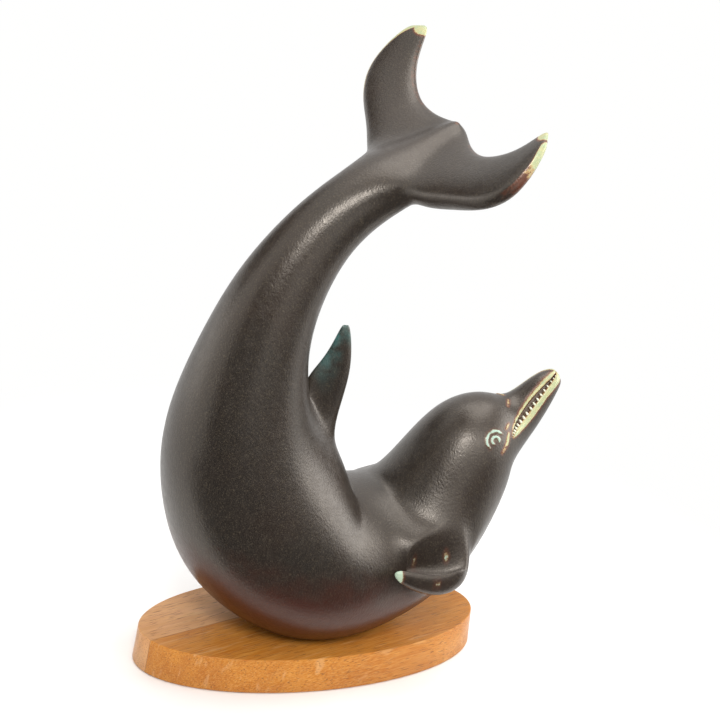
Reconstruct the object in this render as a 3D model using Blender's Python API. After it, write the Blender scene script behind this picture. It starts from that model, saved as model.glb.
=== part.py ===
"""Glazed stoneware dolphin that arches head up and tail up on an oval oak plinth.

All design sizes are in millimetres and are turned into metres by MM.
X runs along the plinth toward the dolphin's head, Y across it, Z up.
The origin lies under the middle of the plinth, on the surface it stands on.
"""

import math

import bmesh
import bpy
from mathutils import Vector

MM = 0.001

# Plinth: an oval board with a slightly wider underside and a small worn edge.
PLINTH_LENGTH = 193.0
PLINTH_WIDTH = 86.5
PLINTH_HEIGHT = 19.8
PLINTH_FLARE = 1.0
PLINTH_EDGE = 0.7
PLINTH_SIDES = 96

# Fit between pieces that touch.
CLEARANCE = 0.3

# Fixing: a wood screw up through the plinth into a plug in the dolphin's foot.
FIXING_X = 14.0
SCREW_SHANK_RADIUS = 2.0
SCREW_BITE = 14.0
SCREW_TIP_LENGTH = 6.0
SCREW_HEAD_RADIUS = 4.0
SCREW_HEAD_HEIGHT = 2.6
SCREW_HEAD_CROWN_RADIUS = 2.4
SCREW_HEAD_ROUNDING = 0.7
SLOT_WIDTH = 1.0
SLOT_DEPTH = 1.1
WASHER_RADIUS = 6.5
WASHER_THICKNESS = 1.2
RECESS_RADIUS = 8.0
RECESS_DEPTH = 6.0
PLUG_RADIUS = 9.0
PLUG_HEIGHT = 22.0
PLUG_CHAMFER = 1.0
PLUG_END_GAP = 2.0
ROUND_SIDES = 48

# Cutters run this far past the face they open.
CUTTER_OVERSHOOT = 3.0

# Dolphin: cage rings from the tip of the beak to the notch of the tail.
# Each ring is (x, height above the plinth, half depth, half width, back angle, flank angle).
# The angles place the ring's two corners on the back and flank, in degrees from the mid-line.
RING_SIDES = 8
RING_BELLY_ANGLES = [112.5, 157.5]
FLUKE_RING_BELLY_ANGLES = [127.0, 164.0]
RING_ROUNDING = 0.902
SMOOTHING_LEVELS = 2
HEAD = [
    (126.5, 138.0, 4.2, 4.0, 22.5, 67.5),
    (121.5, 134.0, 7.6, 6.6, 22.5, 67.5),
    (116.0, 127.0, 9.8, 8.6, 22.5, 67.5),
    (109.0, 117.5, 11.8, 11.5, 22.5, 67.5),
    (101.0, 111.5, 16.5, 15.5, 22.5, 67.5),
    (92.5, 108.5, 22.6, 21.5, 22.5, 67.5),
    (82.0, 102.0, 29.0, 27.5, 22.5, 67.5),
    (70.5, 80.0, 32.0, 32.3, 22.5, 67.5),
]
CHEST_AND_BELLY = [
    (60.0, 59.2, 34.0, 35.5, 21.0, 60.0),
    (48.5, 48.8, 37.1, 38.6, 19.0, 58.0),
    (32.5, 41.2, 40.8, 42.8, 20.0, 62.0),
    (13.0, 37.4, 45.2, 47.0, 22.0, 67.5),
    (-8.0, 38.0, 48.6, 50.0, 22.5, 67.5),
    (-36.0, 60.5, 50.6, 50.0, 13.0, 58.0),
]
TRUNK = [
    (-50.5, 90.0, 44.5, 44.0, 12.0, 55.0),
    (-57.0, 113.5, 39.5, 39.0, 12.0, 55.0),
    (-57.5, 137.0, 34.5, 33.5, 13.0, 58.0),
    (-54.0, 168.0, 27.6, 26.5, 22.5, 67.5),
    (-45.0, 199.5, 23.4, 21.5, 22.5, 67.5),
]
TAIL_STOCK = [
    (-26.2, 230.3, 18.8, 16.4, 22.5, 67.5),
    (-6.5, 247.2, 16.4, 17.0, 20.0, 66.0),
    (6.0, 256.0, 13.8, 24.5, 20.0, 68.0),
    (18.5, 264.0, 10.8, 17.5, 20.0, 62.0),
    (31.0, 273.5, 8.0, 12.0, 20.0, 60.0),
    (43.8, 283.8, 4.8, 6.2, 22.5, 60.0),
]

# Tail flukes: (x, y, height) of the leading and trailing edge, then half thickness.
FLUKE_FIRST_RING = 21
FLUKE_RING_SPAN = 3
FLUKE_SECTIONS = [
    ((9.5, 33.5, 256.5), (39.5, 18.5, 281.5), 8.0),
    ((16.0, 49.0, 262.5), (37.0, 36.0, 282.5), 7.2),
    ((20.5, 71.0, 270.5), (39.0, 50.5, 289.0), 6.2),
    ((30.0, 87.5, 283.5), (44.5, 62.5, 298.5), 5.0),
    ((47.0, 81.0, 308.0), (53.0, 70.0, 312.0), 3.0),
]
FLUKE_THICKNESS_ALONG_CHORD = [0.85, 1.0, 0.8, 0.45]

# Dorsal fin: (x, height) of the leading and trailing edge, then half thickness.
DORSAL_FIRST_RING = 13
DORSAL_RING_SPAN = 3
DORSAL_SECTIONS = [
    ((-2.5, 106.0), (-23.5, 141.0), 6.0),
    ((-1.0, 126.0), (-20.5, 149.0), 4.0),
    ((3.5, 150.0), (-12.5, 158.5), 3.2),
    ((-2.0, 175.5), (-6.5, 176.0), 1.6),
]
DORSAL_THICKNESS_ALONG_CHORD = [0.5, 1.0, 0.9, 0.4]

# Flippers: four (x, y, height) points above and four below, from front to rear.
FLIPPER_FIRST_RING = 7
FLIPPER_RING_SPAN = 3
FLIPPER_SECTIONS = [
    (
        [(68.5, 38.5, 66.5), (57.0, 37.0, 73.5), (43.5, 38.5, 70.5), (29.0, 43.5, 62.5)],
        [(72.0, 38.0, 49.0), (60.0, 42.0, 40.0), (47.0, 43.0, 36.0), (33.0, 43.5, 39.0)],
    ),
    (
        [(67.5, 46.5, 54.0), (57.5, 43.0, 46.5), (45.5, 40.0, 44.5), (30.5, 37.5, 49.0)],
        [(68.0, 43.0, 43.5), (58.0, 46.5, 38.0), (46.0, 47.0, 36.0), (32.0, 45.0, 40.5)],
    ),
    (
        [(64.5, 49.0, 50.5), (55.0, 50.0, 45.5), (43.5, 49.0, 45.0), (27.5, 44.5, 50.0)],
        [(66.0, 46.5, 42.5), (57.0, 50.0, 37.5), (44.0, 50.5, 36.5), (28.0, 47.5, 42.0)],
    ),
    (
        [(61.5, 50.5, 57.5), (53.0, 52.5, 54.5), (39.0, 52.5, 54.5), (16.0, 48.0, 59.5)],
        [(63.0, 52.5, 46.0), (54.0, 56.5, 41.0), (39.0, 56.5, 41.0), (14.0, 50.0, 52.5)],
    ),
]

# Mouth: a groove in each side of the beak, from its corner to the tip.
# Each point is (x, y, height) on the skin, then half the groove's width.
MOUTH_DEPTH = 1.8
MOUTH_CUTTER_REACH = 3.0
MOUTH_FLOOR_SHARE = 0.45
MOUTH_OUTWARD = (0.08, 0.92, 0.38)
MOUTH_LINE = [
    (94.0, 19.2, 111.5, 0.3),
    (99.5, 14.8, 116.0, 1.3),
    (105.4, 11.5, 120.1, 1.9),
    (110.9, 9.2, 125.7, 1.9),
    (116.1, 7.2, 131.7, 1.5),
    (121.0, 5.2, 136.9, 1.0),
    (124.6, 3.2, 140.2, 0.5),
]

# Eye: raised rings around a pupil, as (radius, height above the skin).
EYE_CENTRE = (83.6, 22.0, 113.0)
EYE_OUTWARD = (0.12, 0.9, 0.42)
EYE_SIDES = 14
EYE_PROFILE = [
    (0.0, 0.35),
    (1.1, 0.3),
    (2.1, 0.8),
    (3.3, 0.1),
    (4.9, 0.8),
    (6.0, -0.5),
    (4.5, -2.5),
    (0.0, -2.5),
]


def clear_scene():
    for item in list(bpy.data.objects):
        bpy.data.objects.remove(item, do_unlink=True)
    for mesh in list(bpy.data.meshes):
        bpy.data.meshes.remove(mesh)
    for material in list(bpy.data.materials):
        bpy.data.materials.remove(material)


def make_material(name, colour, roughness, metallic=0.0, coat=0.0):
    material = bpy.data.materials.new(name)
    material.use_nodes = True
    shader = material.node_tree.nodes["Principled BSDF"]
    shader.inputs["Base Color"].default_value = (*colour, 1.0)
    shader.inputs["Roughness"].default_value = roughness
    shader.inputs["Metallic"].default_value = metallic
    shader.inputs["Coat Weight"].default_value = coat
    material.diffuse_color = (*colour, 1.0)
    return material


def make_object(name, bm, material, smooth):
    bmesh.ops.recalc_face_normals(bm, faces=bm.faces[:])
    mesh = bpy.data.meshes.new(name)
    bm.to_mesh(mesh)
    bm.free()
    for polygon in mesh.polygons:
        polygon.use_smooth = smooth
    item = bpy.data.objects.new(name, mesh)
    bpy.context.scene.collection.objects.link(item)
    item.data.materials.append(material)
    return item


def combine(item, tool, name, operation="DIFFERENCE"):
    modifier = item.modifiers.new(name, "BOOLEAN")
    modifier.operation = operation
    modifier.solver = "EXACT"
    modifier.object = tool
    tool.hide_render = True
    tool.display_type = "WIRE"


def turned_solid(name, profile, sides, material, smooth=True):
    """A solid of revolution from (radius, height) points; a profile off the axis closes on itself."""
    closed = profile[0][0] > 0.0
    bm = bmesh.new()
    rings = []
    for radius, height in profile:
        if radius == 0.0:
            rings.append([bm.verts.new((0.0, 0.0, height * MM))])
            continue
        ring = []
        for step in range(sides):
            angle = 2.0 * math.pi * step / sides
            place = (radius * MM * math.cos(angle), radius * MM * math.sin(angle), height * MM)
            ring.append(bm.verts.new(place))
        rings.append(ring)
    if closed:
        rings.append(rings[0])
    for lower, upper in zip(rings, rings[1:]):
        for step in range(sides):
            following = (step + 1) % sides
            if len(lower) == 1:
                bm.faces.new((lower[0], upper[following], upper[step]))
            elif len(upper) == 1:
                bm.faces.new((lower[step], lower[following], upper[0]))
            else:
                bm.faces.new((lower[step], lower[following], upper[following], upper[step]))
    item = make_object(name, bm, material, smooth)
    item.location.x = FIXING_X * MM
    return item


def block_cutter(name, length, width, material):
    """A flat-sided block on the origin; fit_height gives it its lower and upper ends."""
    bm = bmesh.new()
    bmesh.ops.create_cube(bm, size=1.0)
    for vertex in bm.verts:
        vertex.co.x *= length * MM
        vertex.co.y *= width * MM
    return make_object(name, bm, material, False)


def fit_height(block, lower, upper):
    for vertex in block.data.vertices:
        vertex.co.z = (upper if vertex.co.z > 0.0 else lower) * MM


def build_plinth():
    oak = make_material("oiled_oak", (0.52, 0.25, 0.075), 0.42)
    bm = bmesh.new()
    corner = PLINTH_EDGE * (1.0 - math.sqrt(0.5))
    levels = [
        (PLINTH_FLARE - PLINTH_EDGE, 0.0),
        (PLINTH_FLARE, PLINTH_EDGE),
        (0.0, PLINTH_HEIGHT - PLINTH_EDGE),
        (-corner, PLINTH_HEIGHT - corner),
        (-PLINTH_EDGE, PLINTH_HEIGHT),
    ]
    rings = []
    for outset, height in levels:
        ring = []
        for step in range(PLINTH_SIDES):
            angle = 2.0 * math.pi * step / PLINTH_SIDES
            x = (PLINTH_LENGTH / 2.0 + outset) * math.cos(angle)
            y = (PLINTH_WIDTH / 2.0 + outset) * math.sin(angle)
            ring.append(bm.verts.new((x * MM, y * MM, height * MM)))
        rings.append(ring)
    for lower, upper in zip(rings, rings[1:]):
        for step in range(PLINTH_SIDES):
            following = (step + 1) % PLINTH_SIDES
            bm.faces.new((lower[step], lower[following], upper[following], upper[step]))
    bm.faces.new(list(reversed(rings[0])))
    bm.faces.new(rings[-1])
    plinth = make_object("plinth", bm, oak, False)
    hole = SCREW_SHANK_RADIUS + CLEARANCE
    profile = [
        (0.0, -CUTTER_OVERSHOOT),
        (RECESS_RADIUS, -CUTTER_OVERSHOOT),
        (RECESS_RADIUS, RECESS_DEPTH),
        (hole, RECESS_DEPTH),
        (hole, PLINTH_HEIGHT + CUTTER_OVERSHOOT),
        (0.0, PLINTH_HEIGHT + CUTTER_OVERSHOOT),
    ]
    cutter = turned_solid("screw_hole_cutter", profile, ROUND_SIDES, oak)
    combine(plinth, cutter, "screw_hole")
    return plinth


def build_screw(head_top):
    steel = make_material("zinc_plated_steel", (0.56, 0.55, 0.5), 0.35, 1.0)
    head_bottom = head_top - SCREW_HEAD_HEIGHT
    screw_top = PLINTH_HEIGHT + CLEARANCE + SCREW_BITE
    profile = [
        (0.0, head_bottom),
        (SCREW_HEAD_CROWN_RADIUS, head_bottom),
        (SCREW_HEAD_RADIUS, head_bottom + SCREW_HEAD_ROUNDING),
        (SCREW_HEAD_RADIUS, head_top),
        (SCREW_SHANK_RADIUS, head_top),
        (SCREW_SHANK_RADIUS, screw_top - SCREW_TIP_LENGTH),
        (0.0, screw_top),
    ]
    screw = turned_solid("plinth_screw", profile, ROUND_SIDES, steel)
    slot = block_cutter("slot_cutter", 2.0 * SCREW_HEAD_RADIUS + CUTTER_OVERSHOOT, SLOT_WIDTH, steel)
    fit_height(slot, head_bottom - CUTTER_OVERSHOOT, head_bottom + SLOT_DEPTH)
    slot.location.x = FIXING_X * MM
    combine(screw, slot, "driver_slot")
    return screw


def build_washer(washer_top):
    steel = make_material("washer_steel", (0.5, 0.5, 0.48), 0.4, 1.0)
    hole = SCREW_SHANK_RADIUS + CLEARANCE
    washer_bottom = washer_top - WASHER_THICKNESS
    profile = [
        (hole, washer_bottom),
        (WASHER_RADIUS, washer_bottom),
        (WASHER_RADIUS, washer_top),
        (hole, washer_top),
    ]
    return turned_solid("screw_washer", profile, ROUND_SIDES, steel, False)


def build_plug():
    beech = make_material("beech_plug", (0.6, 0.42, 0.25), 0.65)
    plug_bottom = PLINTH_HEIGHT + CLEARANCE
    plug_top = plug_bottom + PLUG_HEIGHT
    profile = [
        (0.0, plug_bottom),
        (PLUG_RADIUS, plug_bottom),
        (PLUG_RADIUS, plug_top - PLUG_CHAMFER),
        (PLUG_RADIUS - PLUG_CHAMFER, plug_top),
        (0.0, plug_top),
    ]
    plug = turned_solid("belly_plug", profile, ROUND_SIDES, beech)
    pilot = SCREW_SHANK_RADIUS + CLEARANCE
    pilot_top = plug_bottom + SCREW_BITE + 2.0 * CLEARANCE
    pilot_profile = [
        (0.0, plug_bottom - CUTTER_OVERSHOOT),
        (pilot, plug_bottom - CUTTER_OVERSHOOT),
        (pilot, pilot_top - SCREW_TIP_LENGTH),
        (0.0, pilot_top),
    ]
    combine(plug, turned_solid("pilot_cutter", pilot_profile, ROUND_SIDES, beech), "pilot_hole")
    return plug


def build_fixing():
    washer_top = RECESS_DEPTH - CLEARANCE
    head_top = washer_top - WASHER_THICKNESS - CLEARANCE
    build_washer(washer_top)
    build_screw(head_top)
    build_plug()


def ring_frames(rings):
    """Centre, dorsal direction and half sizes for each ring; dorsal faces the inside of the arc."""
    frames = []
    for index, (x, z, half_depth, half_width, back_angle, flank_angle) in enumerate(rings):
        before = rings[max(index - 1, 0)]
        after = rings[min(index + 1, len(rings) - 1)]
        incoming = Vector((x - before[0], 0.0, z - before[1])).normalized()
        outgoing = Vector((after[0] - x, 0.0, after[1] - z)).normalized()
        tangent = (incoming + outgoing).normalized()
        dorsal = Vector((tangent.z, 0.0, -tangent.x))
        centre = Vector((x, 0.0, z + PLINTH_HEIGHT))
        carries_flukes = index >= FLUKE_FIRST_RING
        belly_angles = FLUKE_RING_BELLY_ANGLES if carries_flukes else RING_BELLY_ANGLES
        corners = [back_angle, flank_angle] + belly_angles
        depth_reach = half_depth / RING_ROUNDING
        width_reach = half_width / RING_ROUNDING
        frames.append((centre, dorsal, depth_reach, width_reach, corners))
    return frames


def add_body_rings(bm):
    grid = []
    rings = HEAD + CHEST_AND_BELLY + TRUNK + TAIL_STOCK
    for centre, dorsal, depth_reach, width_reach, corners in ring_frames(rings):
        ring = []
        for degrees in corners + [360.0 - corner for corner in reversed(corners)]:
            angle = math.radians(degrees)
            place = centre + dorsal * depth_reach * math.cos(angle)
            place = place + Vector((0.0, width_reach * math.sin(angle), 0.0))
            ring.append(bm.verts.new(place * MM))
        grid.append(ring)
    return grid


def add_end_cap(bm, ring):
    half = RING_SIDES // 2
    for step in range(half - 1):
        opposite = RING_SIDES - 1 - step
        bm.faces.new((ring[step], ring[step + 1], ring[opposite - 1], ring[opposite]))


def add_skin(bm, grid, left_out):
    for index in range(len(grid) - 1):
        for step in range(RING_SIDES):
            if (index, step) in left_out:
                continue
            following = (step + 1) % RING_SIDES
            first, second = grid[index], grid[index + 1]
            bm.faces.new((first[step], second[step], second[following], first[following]))
    add_end_cap(bm, grid[0])
    add_end_cap(bm, grid[-1])


def add_limb(bm, root_upper, root_lower, sections):
    """Loft a limb from the open patch between two rows of ring corners out to a closed end."""
    upper, lower = root_upper, root_lower
    last = len(upper) - 1
    for upper_points, lower_points in sections:
        next_upper = [bm.verts.new(point * MM) for point in upper_points]
        next_lower = [bm.verts.new(point * MM) for point in lower_points]
        for step in range(last):
            bm.faces.new((upper[step], upper[step + 1], next_upper[step + 1], next_upper[step]))
            bm.faces.new((lower[step + 1], lower[step], next_lower[step], next_lower[step + 1]))
        bm.faces.new((lower[0], upper[0], next_upper[0], next_lower[0]))
        bm.faces.new((upper[last], lower[last], next_lower[last], next_upper[last]))
        upper, lower = next_upper, next_lower
    for step in range(last):
        bm.faces.new((upper[step], upper[step + 1], lower[step + 1], lower[step]))


def blade_section(leading, trailing, across, half_thickness, shares):
    """Points on both faces of a thin blade, spaced evenly from the leading to the trailing edge."""
    upper, lower = [], []
    for step, share in enumerate(shares):
        middle = leading.lerp(trailing, step / (len(shares) - 1))
        upper.append(middle + across * half_thickness * share)
        lower.append(middle - across * half_thickness * share)
    return upper, lower


def lifted(x, y, z):
    return Vector((x, y, z + PLINTH_HEIGHT))


def fluke_sections(side):
    sections = []
    for lead, trail, half_thickness in FLUKE_SECTIONS:
        leading = lifted(lead[0], lead[1] * side, lead[2])
        trailing = lifted(trail[0], trail[1] * side, trail[2])
        chord = trailing - leading
        across = Vector((chord.z, 0.0, -chord.x)).normalized()
        shares = FLUKE_THICKNESS_ALONG_CHORD
        sections.append(blade_section(leading, trailing, across, half_thickness, shares))
    return sections


def dorsal_sections():
    sections = []
    for lead, trail, half_thickness in DORSAL_SECTIONS:
        leading = lifted(lead[0], 0.0, lead[1])
        trailing = lifted(trail[0], 0.0, trail[1])
        across = Vector((0.0, 1.0, 0.0))
        shares = DORSAL_THICKNESS_ALONG_CHORD
        sections.append(blade_section(leading, trailing, across, half_thickness, shares))
    return sections


def flipper_sections(side):
    sections = []
    for above, below in FLIPPER_SECTIONS:
        upper = [lifted(x, y * side, z) for x, y, z in above]
        lower = [lifted(x, y * side, z) for x, y, z in below]
        sections.append((upper, lower))
    return sections


def mouth_cutter(side, material):
    """A wedge swept along the mouth line, wider outside than at the floor of the groove."""
    outward = Vector((MOUTH_OUTWARD[0], MOUTH_OUTWARD[1] * side, MOUTH_OUTWARD[2])).normalized()
    points = [lifted(x, y * side, z) for x, y, z, half_width in MOUTH_LINE]
    bm = bmesh.new()
    sections = []
    for index, point in enumerate(points):
        before = points[max(index - 1, 0)]
        after = points[min(index + 1, len(points) - 1)]
        across = (after - before).cross(outward).normalized()
        half_width = MOUTH_LINE[index][3]
        outer = point + outward * MOUTH_CUTTER_REACH
        floor = point - outward * MOUTH_DEPTH
        wide = half_width * (1.0 + MOUTH_CUTTER_REACH / MOUTH_DEPTH * (1.0 - MOUTH_FLOOR_SHARE))
        narrow = half_width * MOUTH_FLOOR_SHARE
        corners = [
            outer + across * wide,
            outer - across * wide,
            floor - across * narrow,
            floor + across * narrow,
        ]
        sections.append([bm.verts.new(corner * MM) for corner in corners])
    for first, second in zip(sections, sections[1:]):
        for step in range(4):
            following = (step + 1) % 4
            bm.faces.new((first[step], first[following], second[following], second[step]))
    bm.faces.new(sections[0])
    bm.faces.new(sections[-1])
    return make_object("mouth_cutter", bm, material, False)


def eye_relief(side, material):
    relief = turned_solid("eye_relief", EYE_PROFILE, EYE_SIDES, material)
    outward = Vector((EYE_OUTWARD[0], EYE_OUTWARD[1] * side, EYE_OUTWARD[2]))
    relief.location = lifted(EYE_CENTRE[0], EYE_CENTRE[1] * side, EYE_CENTRE[2]) * MM
    relief.rotation_euler = outward.to_track_quat("Z", "Y").to_euler()
    return relief


def build_dolphin():
    glaze = make_material("brown_stoneware_glaze", (0.085, 0.068, 0.058), 0.36, 0.0, 0.3)
    bm = bmesh.new()
    grid = add_body_rings(bm)
    near_face = 5
    far_face = 1
    back_face = 7
    left_out = set()
    for index in range(FLUKE_FIRST_RING, FLUKE_FIRST_RING + FLUKE_RING_SPAN):
        left_out.update({(index, near_face), (index, far_face)})
    for index in range(FLIPPER_FIRST_RING, FLIPPER_FIRST_RING + FLIPPER_RING_SPAN):
        left_out.update({(index, near_face), (index, far_face)})
    for index in range(DORSAL_FIRST_RING, DORSAL_FIRST_RING + DORSAL_RING_SPAN):
        left_out.add((index, back_face))
    add_skin(bm, grid, left_out)
    for side, back_corner, belly_corner in ((1, 1, 2), (-1, 6, 5)):
        fluke_rings = grid[FLUKE_FIRST_RING:FLUKE_FIRST_RING + FLUKE_RING_SPAN + 1]
        root_upper = [ring[back_corner] for ring in fluke_rings]
        root_lower = [ring[belly_corner] for ring in fluke_rings]
        add_limb(bm, root_upper, root_lower, fluke_sections(side))
        flipper_rings = grid[FLIPPER_FIRST_RING:FLIPPER_FIRST_RING + FLIPPER_RING_SPAN + 1]
        root_upper = [ring[back_corner] for ring in flipper_rings]
        root_lower = [ring[belly_corner] for ring in flipper_rings]
        add_limb(bm, root_upper, root_lower, flipper_sections(side))
    dorsal_rings = grid[DORSAL_FIRST_RING:DORSAL_FIRST_RING + DORSAL_RING_SPAN + 1]
    root_upper = [ring[0] for ring in dorsal_rings]
    root_lower = [ring[RING_SIDES - 1] for ring in dorsal_rings]
    add_limb(bm, root_upper, root_lower, dorsal_sections())
    dolphin = make_object("dolphin", bm, glaze, True)
    smoothing = dolphin.modifiers.new("smoothing", "SUBSURF")
    smoothing.levels = SMOOTHING_LEVELS
    smoothing.render_levels = SMOOTHING_LEVELS
    for side in (1, -1):
        combine(dolphin, eye_relief(side, glaze), "eye", "UNION")
        combine(dolphin, mouth_cutter(side, glaze), "mouth", "DIFFERENCE")
    foot_height = PLINTH_HEIGHT + CLEARANCE
    foot = block_cutter("foot_cutter", PLINTH_LENGTH, PLINTH_LENGTH, glaze)
    fit_height(foot, -PLINTH_HEIGHT, foot_height)
    combine(dolphin, foot, "flat_foot")
    bore = PLUG_RADIUS + CLEARANCE
    bore_top = foot_height + PLUG_HEIGHT + PLUG_END_GAP
    bore_profile = [
        (0.0, foot_height - CUTTER_OVERSHOOT),
        (bore, foot_height - CUTTER_OVERSHOOT),
        (bore, bore_top),
        (0.0, bore_top),
    ]
    bore_cutter = turned_solid("plug_hole_cutter", bore_profile, ROUND_SIDES, glaze)
    combine(dolphin, bore_cutter, "plug_hole")
    return dolphin


clear_scene()
build_plinth()
build_fixing()
build_dolphin()
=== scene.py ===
"""Looks of the glazed stoneware dolphin on its oval oak plinth.

Sizes are in millimetres, as in the construction, and are turned into metres by MM.
X runs along the plinth toward the dolphin's head, Y across it, Z up.
Heights in the dolphin's tables are above the plinth's top.
"""

import math

import bmesh
import bpy
import numpy as np
from mathutils import Matrix, Vector


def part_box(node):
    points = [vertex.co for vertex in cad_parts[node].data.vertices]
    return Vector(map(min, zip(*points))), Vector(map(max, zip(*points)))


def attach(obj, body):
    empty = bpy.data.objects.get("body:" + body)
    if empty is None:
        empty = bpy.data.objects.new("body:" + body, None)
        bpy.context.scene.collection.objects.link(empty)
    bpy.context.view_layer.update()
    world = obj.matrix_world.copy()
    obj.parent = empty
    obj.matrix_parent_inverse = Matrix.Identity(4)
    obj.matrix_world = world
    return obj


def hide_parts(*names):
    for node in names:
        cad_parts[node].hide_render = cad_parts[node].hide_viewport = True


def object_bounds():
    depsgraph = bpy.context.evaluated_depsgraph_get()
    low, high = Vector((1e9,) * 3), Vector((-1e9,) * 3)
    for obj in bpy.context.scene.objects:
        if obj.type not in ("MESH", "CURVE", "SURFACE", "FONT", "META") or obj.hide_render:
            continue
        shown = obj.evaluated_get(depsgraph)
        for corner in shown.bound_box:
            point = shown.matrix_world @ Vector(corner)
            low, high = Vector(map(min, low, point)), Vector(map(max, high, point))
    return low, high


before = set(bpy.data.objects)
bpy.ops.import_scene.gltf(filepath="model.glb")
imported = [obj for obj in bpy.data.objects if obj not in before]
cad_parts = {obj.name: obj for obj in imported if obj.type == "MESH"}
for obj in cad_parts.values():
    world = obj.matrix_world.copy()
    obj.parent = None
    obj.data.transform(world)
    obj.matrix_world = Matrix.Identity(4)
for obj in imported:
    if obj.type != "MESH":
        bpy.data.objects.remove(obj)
CAD_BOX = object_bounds()

MM = 0.001
PLINTH_LENGTH = 193.0
PLINTH_WIDTH = 86.5
PLINTH_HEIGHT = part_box("plinth")[1].z / MM
PLINTH_FLARE = 1.0
PLINTH_EDGE = 0.7
PLINTH_SIDES = 288
EDGE_STEPS = 5
EDGE_WEAR = 0.12
CLEARANCE = 0.3
RECESS_RADIUS = 8.0
RECESS_DEPTH = 6.0
SCREW_HOLE_RADIUS = 2.3
CUT_OVERRUN = 3.0
PLUG_HOLE_RADIUS = 9.3
PLUG_HOLE_DEPTH = 24.0
FIXING_X = 14.0

# Camera: the photograph's viewing angle, worked out from the plinth's two rims.
IMAGE_SIZE = 720
FOCAL_PIXELS = 3000.0
PIXEL_AT_OBJECT = 0.54
TURN = math.radians(27.37)
PITCH = math.radians(25.5)
ROLL = math.radians(9.05)
SIDE_SHIFT = -11.2
UP_SHIFT = -259.9

# Dolphin cage: (x, height, half depth, half width, back angle, flank angle) for each ring.
RING_SIDES = 8
RING_BELLY_ANGLES = [112.5, 157.5]
FLUKE_RING_BELLY_ANGLES = [127.0, 164.0]
RING_ROUNDING = 0.902
BODY_SMOOTHING = 3
DETAIL_SPLITS = 2
ROUND_SIDES = 48
HEAD = [
    (126.5, 138.0, 4.2, 4.0, 22.5, 67.5),
    (121.5, 134.0, 7.6, 6.6, 22.5, 67.5),
    (116.0, 127.0, 9.8, 8.6, 22.5, 67.5),
    (109.0, 117.5, 11.8, 11.5, 22.5, 67.5),
    (101.0, 111.5, 16.5, 15.5, 22.5, 67.5),
    (92.5, 108.5, 22.6, 21.5, 22.5, 67.5),
    (82.0, 102.0, 29.0, 27.5, 22.5, 67.5),
    (70.5, 80.0, 32.0, 32.3, 22.5, 67.5),
]
CHEST_AND_BELLY = [
    (60.0, 59.2, 34.0, 35.5, 21.0, 60.0),
    (48.5, 48.8, 37.1, 38.6, 19.0, 58.0),
    (32.5, 41.2, 40.8, 42.8, 20.0, 62.0),
    (13.0, 37.4, 45.2, 47.0, 22.0, 67.5),
    (-8.0, 38.0, 48.6, 50.0, 22.5, 67.5),
    (-36.0, 60.5, 50.6, 50.0, 13.0, 58.0),
]
TRUNK = [
    (-50.5, 90.0, 44.5, 44.0, 12.0, 55.0),
    (-57.0, 113.5, 39.5, 39.0, 12.0, 55.0),
    (-57.5, 137.0, 34.5, 33.5, 13.0, 58.0),
    (-54.0, 168.0, 27.6, 26.5, 22.5, 67.5),
    (-45.0, 199.5, 23.4, 21.5, 22.5, 67.5),
]
TAIL_STOCK = [
    (-26.2, 230.3, 18.8, 16.4, 22.5, 67.5),
    (-6.5, 247.2, 16.4, 17.0, 20.0, 66.0),
    (6.0, 256.0, 13.8, 24.5, 20.0, 68.0),
    (18.5, 264.0, 10.8, 17.5, 20.0, 62.0),
    (31.0, 273.5, 8.0, 12.0, 20.0, 60.0),
    (43.8, 283.8, 4.8, 6.2, 22.5, 60.0),
]

# Tail flukes: (x, y, height) of the leading and trailing edge, then half thickness.
FLUKE_FIRST_RING = 21
FLUKE_RING_SPAN = 3
FLUKE_SECTIONS = [
    ((9.5, 33.5, 256.5), (39.5, 18.5, 281.5), 8.0),
    ((16.0, 49.0, 262.5), (37.0, 36.0, 282.5), 7.2),
    ((20.5, 71.0, 270.5), (39.0, 50.5, 289.0), 6.2),
    ((30.0, 87.5, 283.5), (44.5, 62.5, 298.5), 5.0),
    ((47.0, 81.0, 308.0), (53.0, 70.0, 312.0), 3.0),
]
FLUKE_THICKNESS_ALONG_CHORD = [0.85, 1.0, 0.8, 0.45]

# Dorsal fin: (x, height) of the leading and trailing edge, then half thickness.
DORSAL_FIRST_RING = 13
DORSAL_RING_SPAN = 3
DORSAL_SECTIONS = [
    ((-2.5, 106.0), (-23.5, 141.0), 6.0),
    ((-1.0, 126.0), (-20.5, 149.0), 4.0),
    ((3.5, 150.0), (-12.5, 158.5), 3.2),
    ((-2.0, 175.5), (-6.5, 176.0), 1.6),
]
DORSAL_THICKNESS_ALONG_CHORD = [0.5, 1.0, 0.9, 0.4]

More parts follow.
